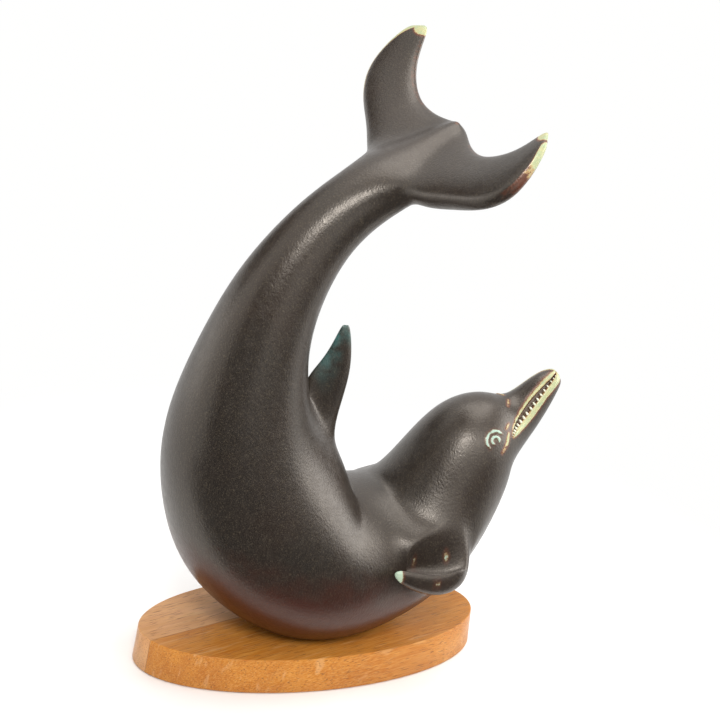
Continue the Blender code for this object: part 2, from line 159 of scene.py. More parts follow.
# Flippers: four (x, y, height) points above and four below, from front to rear.
FLIPPER_FIRST_RING = 7
FLIPPER_RING_SPAN = 3
FLIPPER_SECTIONS = [
    (
        [(68.5, 38.5, 66.5), (57.0, 37.0, 73.5), (43.5, 38.5, 70.5), (29.0, 43.5, 62.5)],
        [(72.0, 38.0, 49.0), (60.0, 42.0, 40.0), (47.0, 43.0, 36.0), (33.0, 43.5, 39.0)],
    ),
    (
        [(67.5, 46.5, 54.0), (57.5, 43.0, 46.5), (45.5, 40.0, 44.5), (30.5, 37.5, 49.0)],
        [(68.0, 43.0, 43.5), (58.0, 46.5, 38.0), (46.0, 47.0, 36.0), (32.0, 45.0, 40.5)],
    ),
    (
        [(64.5, 49.0, 50.5), (55.0, 50.0, 45.5), (43.5, 49.0, 45.0), (27.5, 44.5, 50.0)],
        [(66.0, 46.5, 42.5), (57.0, 50.0, 37.5), (44.0, 50.5, 36.5), (28.0, 47.5, 42.0)],
    ),
    (
        [(61.5, 50.5, 57.5), (53.0, 52.5, 54.5), (39.0, 52.5, 54.5), (16.0, 48.0, 59.5)],
        [(63.0, 52.5, 46.0), (54.0, 56.5, 41.0), (39.0, 56.5, 41.0), (14.0, 50.0, 52.5)],
    ),
]

# Mouth: points on the line where the teeth stand, with the widths that lie on either side.
# Each is (x, y, height, reach up to the upper lip, half the upper lip, width of the lower lip).
MOUTH_LINE = [
    (94.3, 18.9, 111.6, 0.7, 0.3, 0.5),
    (96.5, 17.3, 113.5, 2.4, 0.4, 2.3),
    (99.7, 14.7, 116.1, 3.4, 0.5, 3.4),
    (105.4, 11.5, 120.1, 4.3, 0.62, 3.6),
    (110.9, 9.1, 125.7, 4.4, 0.7, 3.4),
    (116.1, 7.3, 131.7, 3.8, 0.85, 3.3),
    (121.0, 5.2, 136.9, 2.8, 0.95, 3.9),
    (124.4, 3.0, 140.0, 1.9, 0.95, 4.2),
]
HEAD_MIN_X = 74.0
HEAD_MIN_Z = 115.0
MOUTH_REACH = 9.0
MOUTH_END_SLACK = 5.0
MOUTH_DEPTH = 1.9
UPPER_LIP_HEIGHT = 0.35
LOWER_LIP_HEIGHT = 0.5
TOOTH_COUNT = 17
TOOTH_ROW = (0.07, 0.95)
TOOTH_SIDES = 8
TOOTH_PROFILE = ((0.0, 1.0), (0.45, 0.92), (0.75, 0.6), (0.93, 0.28))
TOOTH_OUTWARD = (0.1, 0.88, 0.4)
TOOTH_SINK = 0.4
TOOTH_INSET = 0.5
TOOTH_RADIUS = 0.74
TOOTH_HEIGHT = 2.8

# Eye: a raised ring round the eye, a smaller one inside it, and the dark pupil between.
EYE_CENTRE = (82.7, 22.3, 112.7)
EYE_OUTWARD = (0.14, 0.9, 0.42)
EYE_ACROSS = (0.989, -0.11, -0.101)
OUTER_RING = {"radius": (5.5, 5.1), "start": 42.0, "end": 228.0, "half_width": 0.85}
INNER_RING = {"radius": (2.3, 2.0), "start": -20.0, "end": 250.0, "half_width": 0.85}
RING_HEIGHT = 0.55
PUPIL_RADIUS = 1.0
EYE_REACH = 11.0
EYE_RING_STEPS = 48

# Raised lines by the eye and across the brow: (x, y, height), then half the line's width.
BROW_CREASE = [
    (97.2, 2.6, 125.9, 0.2),
    (96.9, 3.6, 125.6, 0.32),
    (96.2, 5.1, 125.1, 0.38),
    (95.2, 7.0, 124.4, 0.26),
]
CHEEK_STROKE = [
    (91.8, 18.9, 114.4, 0.45),
    (91.0, 20.4, 112.0, 0.85),
    (90.3, 21.6, 109.6, 0.9),
    (88.6, 22.9, 107.6, 0.8),
    (87.1, 23.8, 106.0, 0.5),
]
LASH_STROKE = [
    (92.5, 15.9, 118.4, 0.3),
    (91.4, 16.9, 117.7, 0.5),
    (90.2, 17.9, 116.9, 0.35),
]
STEPS_PER_SPAN = 16
STROKE_HEIGHT = 0.35
STROKE_SPAN = 12.0
BROW_RUST_BELOW = 124.9
CHEEK_RUST_BELOW = 109.0
RUSTY_INSIDE = -0.02
NOWHERE = -9.0
RING_TINT_REACH = -1.5

# Glaze breaks along the limbs. Each fluke table pairs shares of the span with widths in mm.
FLUKE_CHORD_LENGTH = ([0.0, 0.2, 0.4, 0.6, 0.8, 1.0], [41.0, 41.0, 32.0, 32.0, 31.0, 14.0])
NEAR_FLUKE_PALE_WIDTH = ([0.0, 0.66, 0.8, 0.93, 1.0], [-9.0, -2.0, -0.9, 0.3, 4.0])
FAR_FLUKE_PALE_WIDTH = ([0.0, 0.5, 0.65, 0.8, 0.92, 1.0], [-9.0, -1.5, 1.6, 2.8, 4.4, 7.0])
FLUKE_PALE_FROM_SPAN = 0.4
FLUKE_RUST_FROM_SPAN = 0.1
FLUKE_RUST_WIDTH = 0.05
FLUKE_TIP_RADII = (5.6, 6.0)
FLIPPER_OUTER_SPAN = 0.6
FLIPPER_TIP_MAX_X = 25.6
FLIPPER_TIP_BORDER = -1.6
FLIPPER_TIP_TINT = 0.7
TEAL_SPAN = (0.35, 0.9)
TEAL_CHORD = (0.35, 0.95)
TEAL_TIP = (0.85, 1.0)

# Spots where the glaze broke: (x, y, height), radii along x, y and z, and tint.
# They lie on the near side alone, as no two sides of a glazed piece fire the same.
PALE_SPOTS = [
    ((54.4, -44.5, 55.9), (1.5, 5.0, 3.2), 0.8),
    ((43.6, -54.6, 46.4), (0.6, 2.4, 1.6), 1.0),
    ((45.8, -54.6, 46.6), (0.55, 2.4, 1.3), 1.0),
    ((36.5, -40.0, 53.1), (0.7, 3.5, 2.2), 1.0),
]
RUST_SPOTS = [
    ((28.2, -73.6, 284.8), (1.3, 1.3, 1.3)),
    ((29.8, -76.3, 287.0), (1.7, 1.7, 1.7)),
    ((31.4, -79.1, 289.1), (1.6, 1.6, 1.6)),
    ((33.0, -81.9, 291.3), (1.2, 1.2, 1.2)),
    ((39.6, -1.0, 286.6), (1.5, 2.2, 1.1)),
    ((55.8, -46.8, 54.6), (3.2, 3.0, 2.0)),
]


def clamp01(values):
    return np.clip(values, 0.0, 1.0)


def smoothstep(low, high, values):
    share = clamp01((values - low) / (high - low))
    return share * share * (3.0 - 2.0 * share)


def lifted(x, y, z):
    return Vector((x, y, z + PLINTH_HEIGHT))


def ring_frames(rings):
    """Centre, dorsal direction and half sizes for each ring; dorsal faces the inside of the arc."""
    frames = []
    for index, (x, z, half_depth, half_width, back_angle, flank_angle) in enumerate(rings):
        before = rings[max(index - 1, 0)]
        after = rings[min(index + 1, len(rings) - 1)]
        incoming = Vector((x - before[0], 0.0, z - before[1])).normalized()
        outgoing = Vector((after[0] - x, 0.0, after[1] - z)).normalized()
        tangent = (incoming + outgoing).normalized()
        dorsal = Vector((tangent.z, 0.0, -tangent.x))
        carries_flukes = index >= FLUKE_FIRST_RING
        belly_angles = FLUKE_RING_BELLY_ANGLES if carries_flukes else RING_BELLY_ANGLES
        corners = [back_angle, flank_angle] + belly_angles
        depth_reach = half_depth / RING_ROUNDING
        width_reach = half_width / RING_ROUNDING
        frames.append((lifted(x, 0.0, z), dorsal, depth_reach, width_reach, corners))
    return frames


def add_body_rings(bm):
    grid = []
    rings = HEAD + CHEST_AND_BELLY + TRUNK + TAIL_STOCK
    for centre, dorsal, depth_reach, width_reach, corners in ring_frames(rings):
        ring = []
        for degrees in corners + [360.0 - corner for corner in reversed(corners)]:
            angle = math.radians(degrees)
            place = centre + dorsal * depth_reach * math.cos(angle)
            place = place + Vector((0.0, width_reach * math.sin(angle), 0.0))
            ring.append(bm.verts.new(place * MM))
        grid.append(ring)
    return grid


def add_end_cap(bm, ring):
    half = RING_SIDES // 2
    for step in range(half - 1):
        opposite = RING_SIDES - 1 - step
        bm.faces.new((ring[step], ring[step + 1], ring[opposite - 1], ring[opposite]))


def add_skin(bm, grid, left_out):
    for index in range(len(grid) - 1):
        for step in range(RING_SIDES):
            if (index, step) in left_out:
                continue
            following = (step + 1) % RING_SIDES
            first, second = grid[index], grid[index + 1]
            bm.faces.new((first[step], second[step], second[following], first[following]))
    add_end_cap(bm, grid[0])
    add_end_cap(bm, grid[-1])


def add_limb(bm, root_upper, root_lower, sections, span_layer, chord_layer):
    """Loft a limb from an open patch to a closed end, and note how far out and how far back."""
    upper, lower = root_upper, root_lower
    last = len(upper) - 1
    for number, (upper_points, lower_points) in enumerate(sections, start=1):
        next_upper = [bm.verts.new(point * MM) for point in upper_points]
        next_lower = [bm.verts.new(point * MM) for point in lower_points]
        for row in (next_upper, next_lower):
            for step, vertex in enumerate(row):
                vertex[span_layer] = number / len(sections)
                vertex[chord_layer] = step / last
        for step in range(last):
            bm.faces.new((upper[step], upper[step + 1], next_upper[step + 1], next_upper[step]))
            bm.faces.new((lower[step + 1], lower[step], next_lower[step], next_lower[step + 1]))
        bm.faces.new((lower[0], upper[0], next_upper[0], next_lower[0]))
        bm.faces.new((upper[last], lower[last], next_lower[last], next_upper[last]))
        upper, lower = next_upper, next_lower
    for step in range(last):
        bm.faces.new((upper[step], upper[step + 1], lower[step + 1], lower[step]))


def blade_section(leading, trailing, across, half_thickness, shares):
    """Points on both faces of a thin blade, spaced evenly from the leading to the trailing edge."""
    upper, lower = [], []
    for step, share in enumerate(shares):
        middle = leading.lerp(trailing, step / (len(shares) - 1))
        upper.append(middle + across * half_thickness * share)
        lower.append(middle - across * half_thickness * share)
    return upper, lower


def fluke_sections(side):
    sections = []
    for lead, trail, half_thickness in FLUKE_SECTIONS:
        leading = lifted(lead[0], lead[1] * side, lead[2])
        trailing = lifted(trail[0], trail[1] * side, trail[2])
        chord = trailing - leading
        across = Vector((chord.z, 0.0, -chord.x)).normalized()
        shares = FLUKE_THICKNESS_ALONG_CHORD
        sections.append(blade_section(leading, trailing, across, half_thickness, shares))
    return sections


def dorsal_sections():
    sections = []
    for lead, trail, half_thickness in DORSAL_SECTIONS:
        leading = lifted(lead[0], 0.0, lead[1])
        trailing = lifted(trail[0], 0.0, trail[1])
        across = Vector((0.0, 1.0, 0.0))
        shares = DORSAL_THICKNESS_ALONG_CHORD
        sections.append(blade_section(leading, trailing, across, half_thickness, shares))
    return sections


def flipper_sections(side):
    sections = []
    for above, below in FLIPPER_SECTIONS:
        upper = [lifted(x, y * side, z) for x, y, z in above]
        lower = [lifted(x, y * side, z) for x, y, z in below]
        sections.append((upper, lower))
    return sections


def dolphin_cage():
    bm = bmesh.new()
    layers = {}
    for limb in ("fluke", "dorsal", "flipper"):
        for measure in ("span", "chord"):
            layers[limb, measure] = bm.verts.layers.float.new(f"{limb}_{measure}")
    grid = add_body_rings(bm)
    near_face, far_face, back_face = 5, 1, 7
    left_out = set()
    for index in range(FLUKE_FIRST_RING, FLUKE_FIRST_RING + FLUKE_RING_SPAN):
        left_out.update({(index, near_face), (index, far_face)})
    for index in range(FLIPPER_FIRST_RING, FLIPPER_FIRST_RING + FLIPPER_RING_SPAN):
        left_out.update({(index, near_face), (index, far_face)})
    for index in range(DORSAL_FIRST_RING, DORSAL_FIRST_RING + DORSAL_RING_SPAN):
        left_out.add((index, back_face))
    add_skin(bm, grid, left_out)
    for side, back_corner, belly_corner in ((1, 1, 2), (-1, 6, 5)):
        fluke_rings = grid[FLUKE_FIRST_RING:FLUKE_FIRST_RING + FLUKE_RING_SPAN + 1]
        upper = [ring[back_corner] for ring in fluke_rings]
        lower = [ring[belly_corner] for ring in fluke_rings]
        add_limb(bm, upper, lower, fluke_sections(side), layers["fluke", "span"], layers["fluke", "chord"])
        flipper_rings = grid[FLIPPER_FIRST_RING:FLIPPER_FIRST_RING + FLIPPER_RING_SPAN + 1]
        upper = [ring[back_corner] for ring in flipper_rings]
        lower = [ring[belly_corner] for ring in flipper_rings]
        sections = flipper_sections(side)
        add_limb(bm, upper, lower, sections, layers["flipper", "span"], layers["flipper", "chord"])
    dorsal_rings = grid[DORSAL_FIRST_RING:DORSAL_FIRST_RING + DORSAL_RING_SPAN + 1]
    upper = [ring[0] for ring in dorsal_rings]
    lower = [ring[RING_SIDES - 1] for ring in dorsal_rings]
    add_limb(bm, upper, lower, dorsal_sections(), layers["dorsal", "span"], layers["dorsal", "chord"])
    bmesh.ops.recalc_face_normals(bm, faces=bm.faces[:])
    return bm


def link_mesh(name, bm):
    mesh = bpy.data.meshes.new(name)
    bm.to_mesh(mesh)
    bm.free()
    item = bpy.data.objects.new(name, mesh)
    bpy.context.scene.collection.objects.link(item)
    return item


def join_rings(bm, lower, upper):
    """Quads between two closed rings with the same number of points."""
    faces = []
    for step in range(len(lower)):
        following = (step + 1) % len(lower)
        faces.append(bm.faces.new((lower[step], lower[following], upper[following], upper[step])))
    return faces


def turned_cutter(profile, sides, x):
    """A closed solid of revolution from (radius, height) points that start and end on the axis."""
    bm = bmesh.new()
    rings = []
    for radius, height in profile:
        if radius == 0.0:
            rings.append([bm.verts.new((x * MM, 0.0, height * MM))])
            continue
        ring = []
        for step in range(sides):
            angle = 2.0 * math.pi * step / sides
            place = Vector((x + radius * math.cos(angle), radius * math.sin(angle), height))
            ring.append(bm.verts.new(place * MM))
        rings.append(ring)
    for lower, upper in zip(rings, rings[1:]):
        for step in range(sides):
            following = (step + 1) % sides
            if len(lower) == 1:
                bm.faces.new((lower[0], upper[following], upper[step]))
            elif len(upper) == 1:
                bm.faces.new((lower[step], lower[following], upper[0]))
            else:
                bm.faces.new((lower[step], lower[following], upper[following], upper[step]))
    bmesh.ops.recalc_face_normals(bm, faces=bm.faces[:])
    return link_mesh("turned_cutter", bm)


def block_cutter(lower_corner, upper_corner):
    bm = bmesh.new()
    bmesh.ops.create_cube(bm, size=1.0)
    low, high = Vector(lower_corner), Vector(upper_corner)
    for vertex in bm.verts:
        for axis in range(3):
            vertex.co[axis] = (high[axis] if vertex.co[axis] > 0.0 else low[axis]) * MM
    return link_mesh("block_cutter", bm)


def cut_away(item, cutters):
    for cutter in cutters:
        modifier = item.modifiers.new("cut", "BOOLEAN")
        modifier.operation = "DIFFERENCE"
        modifier.solver = "EXACT"
        modifier.object = cutter


def apply_modifiers(item, helpers=()):
    """Keep the modifiers' result as the object's own mesh and delete the helper objects."""
    depsgraph = bpy.context.evaluated_depsgraph_get()
    evaluated = item.evaluated_get(depsgraph)
    mesh = bpy.data.meshes.new_from_object(evaluated, depsgraph=depsgraph)
    item.modifiers.clear()
    item.data = mesh
    for helper in helpers:
        bpy.data.objects.remove(helper, do_unlink=True)


def smooth_line(rows):
    """A curve through every row of a table, with all its columns carried along."""
    rows = np.array(rows, float)
    padded = np.vstack([2.0 * rows[0] - rows[1], rows, 2.0 * rows[-1] - rows[-2]])
    curve = []
    for index in range(1, len(padded) - 2):
        p0, p1, p2, p3 = padded[index - 1:index + 3]
        for step in range(STEPS_PER_SPAN):
            t = step / STEPS_PER_SPAN
            bend = 2.0 * p0 - 5.0 * p1 + 4.0 * p2 - p3
            twist = 3.0 * p1 - p0 - 3.0 * p2 + p3
            curve.append(0.5 * (2.0 * p1 + (p2 - p0) * t + bend * t * t + twist * t ** 3))
    curve.append(rows[-1])
    return np.array(curve)


def on_dolphin(line):
    """The same line with heights counted from the ground instead of the plinth's top."""
    line = line.copy()
    line[:, 2] += PLINTH_HEIGHT
    return line


def nearest_on(points, line):
    gaps = np.linalg.norm(points[:, None, :] - line[None, :, :3], axis=2)
    return gaps.argmin(axis=1)


def unit_rows(vectors):
    return vectors / np.maximum(np.linalg.norm(vectors, axis=1), 1e-9)[:, None]


def ridge_field(points, normals, line):
    """Inside distance to the edge of a raised line, in mm: positive on the line."""
    index = nearest_on(points, line)
    offset = points - line[index, :3]
    offset -= normals * (offset * normals).sum(axis=1)[:, None]
    return line[index, 3] - np.linalg.norm(offset, axis=1), line[index, 3]


def ridge_height(inside, half_width, height):
    return height * (1.0 - (1.0 - clamp01(inside / half_width)) ** 2)


def eye_axes():
    outward = Vector(EYE_OUTWARD).normalized()
    across = Vector(EYE_ACROSS)
    across = (across - outward * across.dot(outward)).normalized()
    return outward, across, across.cross(outward)


def eye_ring(ring):
    """Points of a ring round the eye, thinner toward its two ends."""
    outward, across, up = eye_axes()
    centre = lifted(*EYE_CENTRE)
    rows = []
    for step in range(EYE_RING_STEPS + 1):
        share = step / EYE_RING_STEPS
        angle = math.radians(ring["start"] + (ring["end"] - ring["start"]) * share)
        place = centre + across * ring["radius"][0] * math.cos(angle)
        place = place + up * ring["radius"][1] * math.sin(angle)
        taper = min(1.0, 0.5 + 4.0 * min(share, 1.0 - share))
        rows.append((*place, ring["half_width"] * taper))
    return np.array(rows)


def near_any_detail(centre):
    """Whether a place on the skin, in mm, is close to the mouth, an eye or a raised line."""
    place = np.array((centre.x, abs(centre.y), centre.z)) / MM
    for line, reach in DETAIL_LINES:
        if np.linalg.norm(line[:, :3] - place, axis=1).min() < reach:
            return True
    return False


def refine(bm, wanted, passes):
    """Split the faces of a wanted area into quarters, and even out the new surface."""
    for _ in range(passes):
        edges = set()
        for face in bm.faces:
            if wanted(face.calc_center_median()):
                edges.update(face.edges)
        bmesh.ops.subdivide_edges(bm, edges=list(edges), cuts=1, use_grid_fill=True)
        inner = [vertex for vertex in bm.verts if wanted(vertex.co)]
        for _ in range(2):
            bmesh.ops.smooth_vert(
                bm, verts=inner, factor=0.5, use_axis_x=True, use_axis_y=True, use_axis_z=True
            )


MOUTH = on_dolphin(smooth_line(MOUTH_LINE))
OUTER_EYE = eye_ring(OUTER_RING)
INNER_EYE = eye_ring(INNER_RING)
BROW = on_dolphin(smooth_line(BROW_CREASE))
CHEEK = on_dolphin(smooth_line(CHEEK_STROKE))
LASH = on_dolphin(smooth_line(LASH_STROKE))
EYE_POINT = np.array([[*lifted(*EYE_CENTRE), PUPIL_RADIUS]])
DETAIL_LINES = [
    (MOUTH, 7.0),
    (EYE_POINT, 8.0),
    (BROW, 2.0),
    (CHEEK, 2.0),
    (LASH, 2.0),
]


def mouth_fields(points, normals):
    """How far the mouth moves the skin outward, where its lips are pale, and where it is open and gets
    painted shade.
    """
    index = nearest_on(points, MOUTH)
    tangents = unit_rows(np.gradient(MOUTH[:, :3], axis=0))[index]
    offset = points - MOUTH[index, :3]
    across = unit_rows(np.cross(tangents, normals))
    above = (offset * across).sum(axis=1)
    along = (offset * tangents).sum(axis=1)
    reach_up, lip, low = MOUTH[index, 3], MOUTH[index, 4], MOUTH[index, 5]
    behind = np.maximum(0.0, -along) * (index == 0)
    ahead = np.maximum(0.0, along) * (index == len(MOUTH) - 1)
    fade = clamp01(1.0 - behind) * clamp01(1.5 - ahead / MOUTH_END_SLACK)
    near = np.linalg.norm(offset, axis=1) < MOUTH_REACH
    fade = fade * near
    gap_top = reach_up - lip
    opening = smoothstep(0.0, 0.55, above) * fade
    opening = opening * (1.0 - smoothstep(gap_top - 0.5, gap_top + 0.05, above))
    upper = lip - np.abs(above - reach_up)
    lower = low / 2.0 - np.abs(above + low / 2.0)
    raised = UPPER_LIP_HEIGHT * (1.0 - clamp01(1.0 - upper / lip) ** 2)
    raised = raised + LOWER_LIP_HEIGHT * (1.0 - clamp01(1.0 - lower * 2.0 / low) ** 2.5)
    pale = np.maximum(upper, lower) - behind * 3.0
    pale = np.where(near & (fade > 0.0), pale, NOWHERE)
    return raised * fade - MOUTH_DEPTH * opening, pale, opening


def spot_field(points, centre, radii):
    """Roughly the inside distance to the edge of an ellipsoid, in mm."""
    radii = np.array(radii)
    centre = np.array(lifted(*centre))
    share = np.linalg.norm((points - centre) / radii, axis=1)
    return (1.0 - share) * radii.min()


def read_points(mesh):
    flat = np.empty(len(mesh.vertices) * 3)
    mesh.vertices.foreach_get("co", flat)
    return flat.reshape(-1, 3) / MM


def read_normals(mesh):
    flat = np.empty(len(mesh.vertices) * 3)
    mesh.vertex_normals.foreach_get("vector", flat)
    return flat.reshape(-1, 3)


def read_attribute(mesh, name):
    values = np.zeros(len(mesh.vertices))
    mesh.attributes[name].data.foreach_get("value", values)
    return values


def write_attribute(mesh, name, values):
    attribute = mesh.attributes.new(name, "FLOAT", "POINT")
    attribute.data.foreach_set("value", values.astype(np.float32))


def fluke_fields(span, chord, far):
    """Pale band along the outer leading edge and tip, and a rusty thread on the trailing edge."""
    chord_length = np.interp(span, *FLUKE_CHORD_LENGTH)
    near_width = np.interp(span, *NEAR_FLUKE_PALE_WIDTH)
    far_width = np.interp(span, *FAR_FLUKE_PALE_WIDTH)
    width = np.where(far, far_width, near_width)
    pale = np.where(span > FLUKE_PALE_FROM_SPAN, width - chord * chord_length, NOWHERE)
    from_rear = (1.0 - chord) * chord_length
    rust = np.where(span > FLUKE_RUST_FROM_SPAN, FLUKE_RUST_WIDTH - from_rear, NOWHERE)
    return pale, rust


def dress_skin(item):
    """Work the face into the skin and store where the glaze is pale, rusty, teal or dark; the dark is the
    pupil and painted shade inside the open mouth.
    """
    mesh = item.data
    points = read_points(mesh)
    normals = read_normals(mesh)
    mirrored = points * [1.0, 0.0, 1.0] + np.abs(points) * [0.0, 1.0, 0.0]
    facing = normals.copy()
    facing[:, 1] *= np.where(points[:, 1] < 0.0, -1.0, 1.0)
    count = len(points)
    pale = np.full(count, NOWHERE)
    rust = np.full(count, NOWHERE)
    tint = np.zeros(count)
    mouth_shade_and_pupil = np.zeros(count)
    lift = np.zeros(count)

    head = np.nonzero((points[:, 0] > HEAD_MIN_X) & (points[:, 2] > HEAD_MIN_Z))[0]
    raised, lip_pale, opening = mouth_fields(mirrored[head], facing[head])
    lift[head] += raised
    pale[head] = np.maximum(pale[head], lip_pale)
    # The open part of the mouth is kept for painted shade in its gap.
    mouth_shade_and_pupil[head] = np.maximum(mouth_shade_and_pupil[head], opening)

    outward = np.array(eye_axes()[0])
    eye_gap = mirrored[head] - EYE_POINT[0, :3]
    toward = facing[head] @ outward
    by_eye = (np.linalg.norm(eye_gap, axis=1) < EYE_REACH) & (toward > 0.3)
    for line in (OUTER_EYE, INNER_EYE):
        inside, half_width = ridge_field(mirrored[head], facing[head], line)
        inside = np.where(by_eye, inside, NOWHERE)
        lift[head] += ridge_height(inside, half_width, RING_HEIGHT)
        tint[head] = np.where(inside > np.maximum(pale[head], RING_TINT_REACH), 1.0, tint[head])
        pale[head] = np.maximum(pale[head], inside)
    pupil = PUPIL_RADIUS - np.linalg.norm(eye_gap - np.outer(eye_gap @ outward, outward), axis=1)
    mouth_shade_and_pupil[head] = np.maximum(mouth_shade_and_pupil[head], smoothstep(-0.3, 0.3, np.where(by_eye, pupil, NOWHERE)))

    for line, rust_end in ((BROW, BROW_RUST_BELOW), (CHEEK, CHEEK_RUST_BELOW), (LASH, 0.0)):
        close = head[np.abs(mirrored[head] - line[len(line) // 2, :3]).max(axis=1) < STROKE_SPAN]
        inside, half_width = ridge_field(mirrored[close], facing[close], line)
        lift[close] += ridge_height(inside, half_width, STROKE_HEIGHT)
        rusty = mirrored[close][:, 2] - PLINTH_HEIGHT < rust_end
        inside = np.where(rusty, np.minimum(inside, RUSTY_INSIDE), inside)
        tint[close] = np.where(rusty & (inside > -1.0), 0.0, tint[close])
        pale[close] = np.maximum(pale[close], inside)

    points += normals * lift[:, None]

    fluke_pale, fluke_rust = fluke_fields(
        read_attribute(mesh, "fluke_span"), read_attribute(mesh, "fluke_chord"), points[:, 1] > 0.0
    )
    pale = np.maximum(pale, fluke_pale)
    rust = np.maximum(rust, fluke_rust)
    for radius, side in zip(FLUKE_TIP_RADII, (-1.0, 1.0)):
        tip = points[(points[:, 2] * (points[:, 1] * side > 0.0)).argmax()]
        pale = np.maximum(pale, radius - np.linalg.norm(points - tip, axis=1))
    flipper = read_attribute(mesh, "flipper_span")
    tip = np.where(flipper > FLIPPER_OUTER_SPAN, FLIPPER_TIP_MAX_X - points[:, 0], NOWHERE)
    tint = np.where(tip > np.maximum(pale, FLIPPER_TIP_BORDER), FLIPPER_TIP_TINT, tint)
    pale = np.maximum(pale, tip)
    dorsal_span = read_attribute(mesh, "dorsal_span")
    dorsal_chord = read_attribute(mesh, "dorsal_chord")
    teal = smoothstep(*TEAL_SPAN, dorsal_span) * smoothstep(*TEAL_CHORD, dorsal_chord)
    teal = np.maximum(teal, smoothstep(*TEAL_TIP, dorsal_span))
    for centre, radii, spot_tint in PALE_SPOTS:
        inside = spot_field(points, centre, radii)
        tint = np.where(inside > pale, spot_tint, tint)
        pale = np.maximum(pale, inside)
    for centre, radii in RUST_SPOTS:
        rust = np.maximum(rust, spot_field(points, centre, radii))

    mesh.vertices.foreach_set("co", np.clip(points * MM, CAD_BOX[0], CAD_BOX[1]).ravel())
    mesh.update()
    for name, values in (("pale", pale), ("rust", rust), ("tint", tint), ("mouth_shade_and_pupil", mouth_shade_and_pupil), ("teal", teal)):
        write_attribute(mesh, name, values)


def build_dolphin(material):
    cage = dolphin_cage()
    item = link_mesh("glazed_dolphin", cage)
    smoothing = item.modifiers.new("smoothing", "SUBSURF")
    smoothing.levels = BODY_SMOOTHING
    smoothing.render_levels = BODY_SMOOTHING
    foot = PLINTH_HEIGHT + CLEARANCE
    reach = PLINTH_LENGTH
    foot_cutter = block_cutter((-reach, -reach, -PLINTH_HEIGHT), (reach, reach, foot))
    hole_end = foot + PLUG_HOLE_DEPTH
    hole = [(0.0, 0.0), (PLUG_HOLE_RADIUS, 0.0), (PLUG_HOLE_RADIUS, hole_end), (0.0, hole_end)]
    hole_cutter = turned_cutter(hole, ROUND_SIDES, FIXING_X)
    cut_away(item, [foot_cutter, hole_cutter])
    apply_modifiers(item, [foot_cutter, hole_cutter])
    bm = bmesh.new()
    bm.from_mesh(item.data)
    refine(bm, near_any_detail, DETAIL_SPLITS)
    bmesh.ops.recalc_face_normals(bm, faces=bm.faces[:])
    bm.to_mesh(item.data)
    bm.free()
    dress_skin(item)
    for polygon in item.data.polygons:
        polygon.use_smooth = True
    item.data.materials.clear()
    item.data.materials.append(material)
    return item


def build_teeth(material):
    """Small pointed teeth along the lower jaw on both sides."""
    bm = bmesh.new()
    outward = Vector(TOOTH_OUTWARD).normalized()
    last = len(MOUTH) - 1
    steps = np.linspace(*TOOTH_ROW, TOOTH_COUNT) * last
    for side in (1, -1):
        for number, step in enumerate(steps):
            index = int(step)
            base = Vector(MOUTH[index, :3])
            tangent = Vector(MOUTH[min(index + 1, last), :3] - MOUTH[max(index - 1, 0), :3]).normalized()
            across = tangent.cross(outward).normalized()
            lean = (across + outward * 0.25).normalized()
            size = 1.0 - 0.45 * abs(2.0 * number / (TOOTH_COUNT - 1) - 0.85) ** 2
            start = base - across * TOOTH_SINK - outward * TOOTH_INSET
            rings = []
            for share, radius in TOOTH_PROFILE:
                ring = []
                for turn in range(TOOTH_SIDES):
                    angle = 2.0 * math.pi * turn / TOOTH_SIDES
                    around = tangent * math.cos(angle) + lean.cross(tangent) * math.sin(angle)
                    place = start + lean * TOOTH_HEIGHT * size * share
                    place = place + around * TOOTH_RADIUS * size * radius
                    ring.append(bm.verts.new(Vector((place.x, place.y * side, place.z)) * MM))
                rings.append(ring)
            point = start + lean * TOOTH_HEIGHT * size
            tip = bm.verts.new(Vector((point.x, point.y * side, point.z)) * MM)
            for lower, upper in zip(rings, rings[1:]):
                join_rings(bm, lower, upper)
            bm.faces.new(rings[0])
            for turn in range(TOOTH_SIDES):
                bm.faces.new((rings[-1][turn], rings[-1][(turn + 1) % TOOTH_SIDES], tip))
    bmesh.ops.recalc_face_normals(bm, faces=bm.faces[:])
    for face in bm.faces:
        face.smooth = True
    item = link_mesh("teeth", bm)
    item.data.materials.append(material)
    return item


